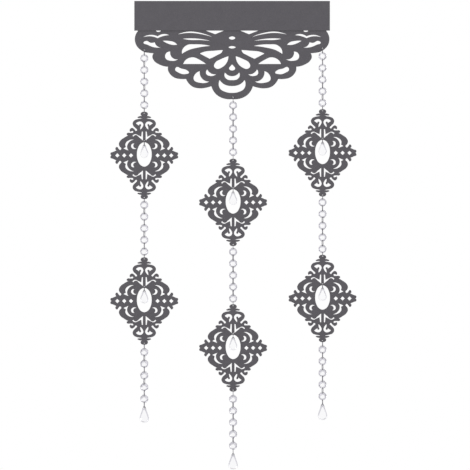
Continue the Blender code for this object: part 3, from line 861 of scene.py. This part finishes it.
class VALANCE_OT_medallions(bpy.types.Operator):
    """Adds the six cut-out medallions, all cut to one outline"""
    bl_idname = "valance.medallions"
    bl_label = "Medallions"
    bl_options = {"REGISTER", "UNDO"}

    def execute(self, context):
        settings = context.scene.valance
        curve = new_cloth("medallion", MEDALLION_STEPS)
        lower = [row._replace(along=-row.along) for row in reversed(MEDALLION_EDGE) if row.along > 0]
        add_outline(curve, both_sides(MEDALLION_EDGE + lower))
        for rows in MEDALLION_HOLES.values():
            for quarter in (rows, mirrored(rows)):
                add_outline(curve, quarter)
                add_outline(curve, quarter, -1)
        middle, half = (OVAL_TOP - OVAL_BOTTOM) / 2, (OVAL_TOP + OVAL_BOTTOM) / 2
        add_outline(curve, ellipse(0, middle, OVAL_HALF_WIDTH, half, ELLIPSE_MARKS))
        for across in DIAMONDS:
            add_outline(curve, diamond(across, DIAMOND_HALF))
            add_outline(curve, diamond(-across, DIAMOND_HALF))
        low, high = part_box("left_medallion_1")
        reach = (high.z - low.z) / 2 - EDGE_TO_HOLE
        for along in (reach, OVAL_TOP + EDGE_TO_HOLE, -reach):
            add_outline(curve, ellipse(0, along, CLOTH_HOLE, CLOTH_HOLE, HOLE_MARKS))
        pattern = cut_cloth(curve, settings.cloth, Vector())
        for side in SIDES:
            for level in LEVELS:
                node = f"{side}_medallion_{level}"
                mesh = moved_copies(pattern, [middle_of(node)], f"{node}_felt")
                piece = add_piece(f"{node}_felt", mesh, node, felt_of(settings), node)
        bpy.data.meshes.remove(pattern)
        return {"FINISHED"}


class VALANCE_OT_beads(bpy.types.Operator):
    """Adds the octagonal glass beads, five in each run"""
    bl_idname = "valance.beads"
    bl_label = "Beads"
    bl_options = {"REGISTER", "UNDO"}

    def execute(self, context):
        settings = context.scene.valance
        bead = bead_mesh(settings.glass)
        for side in SIDES:
            for level in RUNS:
                node = f"{side}_run_{level}"
                beads, _ = run_of(side, level)
                mesh = moved_copies(bead, beads, f"{node}_beads")
                add_piece(f"{node}_beads", mesh, node, glass_of(settings), node)
        bpy.data.meshes.remove(bead)
        return {"FINISHED"}


class VALANCE_OT_rings(bpy.types.Operator):
    """Adds the wire rings that join the beads, the cloth and the drops"""
    bl_idname = "valance.rings"
    bl_label = "Wire Rings"
    bl_options = {"REGISTER", "UNDO"}

    def execute(self, context):
        settings = context.scene.valance
        wire = settings.wire.radius
        for side in SIDES:
            for level in RUNS:
                node = f"{side}_run_{level}"
                _, rings = run_of(side, level)
                mesh = rings_mesh(f"{node}_rings", rings, wire, settings.wire.twist)
                add_piece(f"{node}_rings", mesh, node, wire_of(settings), node)
            for level in LEVELS:
                node = f"{side}_oval_ring_{level}"
                mesh = rings_mesh(f"{node}_wire", [(middle_of(node), OVAL_RING)], wire)
                add_piece(f"{node}_wire", mesh, f"{side}_oval_drop_{level}", wire_of(settings), node)
        return {"FINISHED"}


class VALANCE_OT_drops(bpy.types.Operator):
    """Adds the clear pear drops in the medallions' ovals and at the strings' ends"""
    bl_idname = "valance.drops"
    bl_label = "Drops"
    bl_options = {"REGISTER", "UNDO"}

    def execute(self, context):
        settings = context.scene.valance
        oval_drops = [f"{side}_oval_drop_{level}" for side in SIDES for level in LEVELS]
        end_drops = [f"{side}_end_drop" for side in SIDES]
        for names in (oval_drops, end_drops):
            low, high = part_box(names[0])
            size = high - low
            pattern = drop_mesh("drop", settings.glass, size.x, size.y, size.z)
            for node in names:
                low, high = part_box(node)
                at = Vector(((low.x + high.x) / 2, (low.y + high.y) / 2, high.z - DROP_HOLE))
                mesh = moved_copies(pattern, [at], f"{node}_glass")
                add_piece(f"{node}_glass", mesh, node, glass_of(settings), node)
            bpy.data.meshes.remove(pattern)
        return {"FINISHED"}


# Stage

def add_lamp(name, at, power, size):
    """Adds a square lamp that faces the middle of the photo."""
    light = bpy.data.lights.new(name, "AREA")
    light.energy, light.size = power, size
    lamp = add_object(name, light)
    lamp.location = at
    lamp.rotation_euler = (PHOTO_MIDDLE - at).to_track_quat("-Z", "Y").to_euler()


def light_surround(stage):
    """Lights a studio that is pale behind the valance, darker before it and shaded to its sides.

    The glass shows it, and the camera sees it pale all round.
    """
    world = bpy.data.worlds.new("studio")
    bpy.context.scene.world = world
    studio = Nodes(world, "Background")
    where = studio.add("TexCoord").outputs["Generated"]
    depth = studio.add("VectorMath", [(0, where), (1, BRIGHT_WAY)], operation="DOT_PRODUCT").outputs["Value"]
    share = studio.add("LightPath").outputs["Is Camera Ray"]
    for way, brightest in ((1, 1), (-1, FRONT_SHARE)):
        low, high = (way * edge for edge in BRIGHT_SPREAD)
        lit = studio.spread(depth, low, high, to_high=brightest, way="SMOOTHSTEP")
        share = studio.combine("MAXIMUM", share, lit)
    studio.link("Color", studio.mix(share, stage.shade, [stage.surround] * 3))


class VALANCE_OT_stage(bpy.types.Operator):
    """Adds the pale floor, the soft studio light and the camera"""
    bl_idname = "valance.stage"
    bl_label = "Stage"
    bl_options = {"REGISTER", "UNDO"}

    def execute(self, context):
        scene, stage = context.scene, context.scene.valance.stage
        bm = bmesh.new()
        bmesh.ops.create_circle(bm, cap_ends=True, segments=FLOOR_SIDES, radius=FLOOR_RADIUS,
                                matrix=Matrix.Translation((0, 0, FLOOR_Z)))
        floor = add_object("floor", to_mesh(bm, "floor"))
        floor.data.materials.append(floor_material("pale_floor", stage))

        for lamp in LAMPS:
            add_lamp(lamp.name, lamp.at, stage.lamp * lamp.share, lamp.size)
        light_surround(stage)

        camera = add_object("camera", bpy.data.cameras.new("camera"))
        camera.data.lens, camera.data.sensor_width = LENS, SENSOR
        distance = PHOTO_SIDE * PHOTO_SCALE * LENS / SENSOR
        camera.location = PHOTO_MIDDLE - Vector((0, distance, 0))
        camera.rotation_euler = (math.pi / 2, 0, 0)
        scene.camera = camera
        scene.view_settings.view_transform = "Standard"
        return {"FINISHED"}


class VALANCE_PT_panel(bpy.types.Panel):
    """Lists the valance's sizes and colours, and a button for each operator"""
    bl_idname = "VALANCE_PT_panel"
    bl_label = "Window Valance"
    bl_space_type = "VIEW_3D"
    bl_region_type = "UI"
    bl_category = "Valance"

    def draw(self, context):
        settings = context.scene.valance
        for group in (settings.cloth, settings.glass, settings.wire, settings.stage):
            box = self.layout.box()
            for name in group.bl_rna.properties.keys():
                if name not in ("rna_type", "name"):
                    box.prop(group, name)
        column = self.layout.column(align=True)
        for operator in OPERATORS:
            column.operator(operator.bl_idname)


GROUPS = (ValanceCloth, ValanceGlass, ValanceWire, ValanceStage, ValanceSettings)
OPERATORS = (
    VALANCE_OT_heading, VALANCE_OT_lace, VALANCE_OT_medallions, VALANCE_OT_beads, VALANCE_OT_rings,
    VALANCE_OT_drops, VALANCE_OT_stage,
)


def register():
    for part in (*GROUPS, *OPERATORS, VALANCE_PT_panel):
        bpy.utils.register_class(part)
    bpy.types.Scene.valance = PointerProperty(type=ValanceSettings)


def unregister():
    del bpy.types.Scene.valance
    for part in (VALANCE_PT_panel, *reversed(OPERATORS), *reversed(GROUPS)):
        bpy.utils.unregister_class(part)


def main():
    register()
    bpy.ops.valance.heading()
    bpy.ops.valance.lace()
    bpy.ops.valance.beads()
    bpy.ops.valance.rings()
    bpy.ops.valance.medallions()
    bpy.ops.valance.drops()
    bpy.ops.valance.stage()


if __name__ == "__main__":
    main()
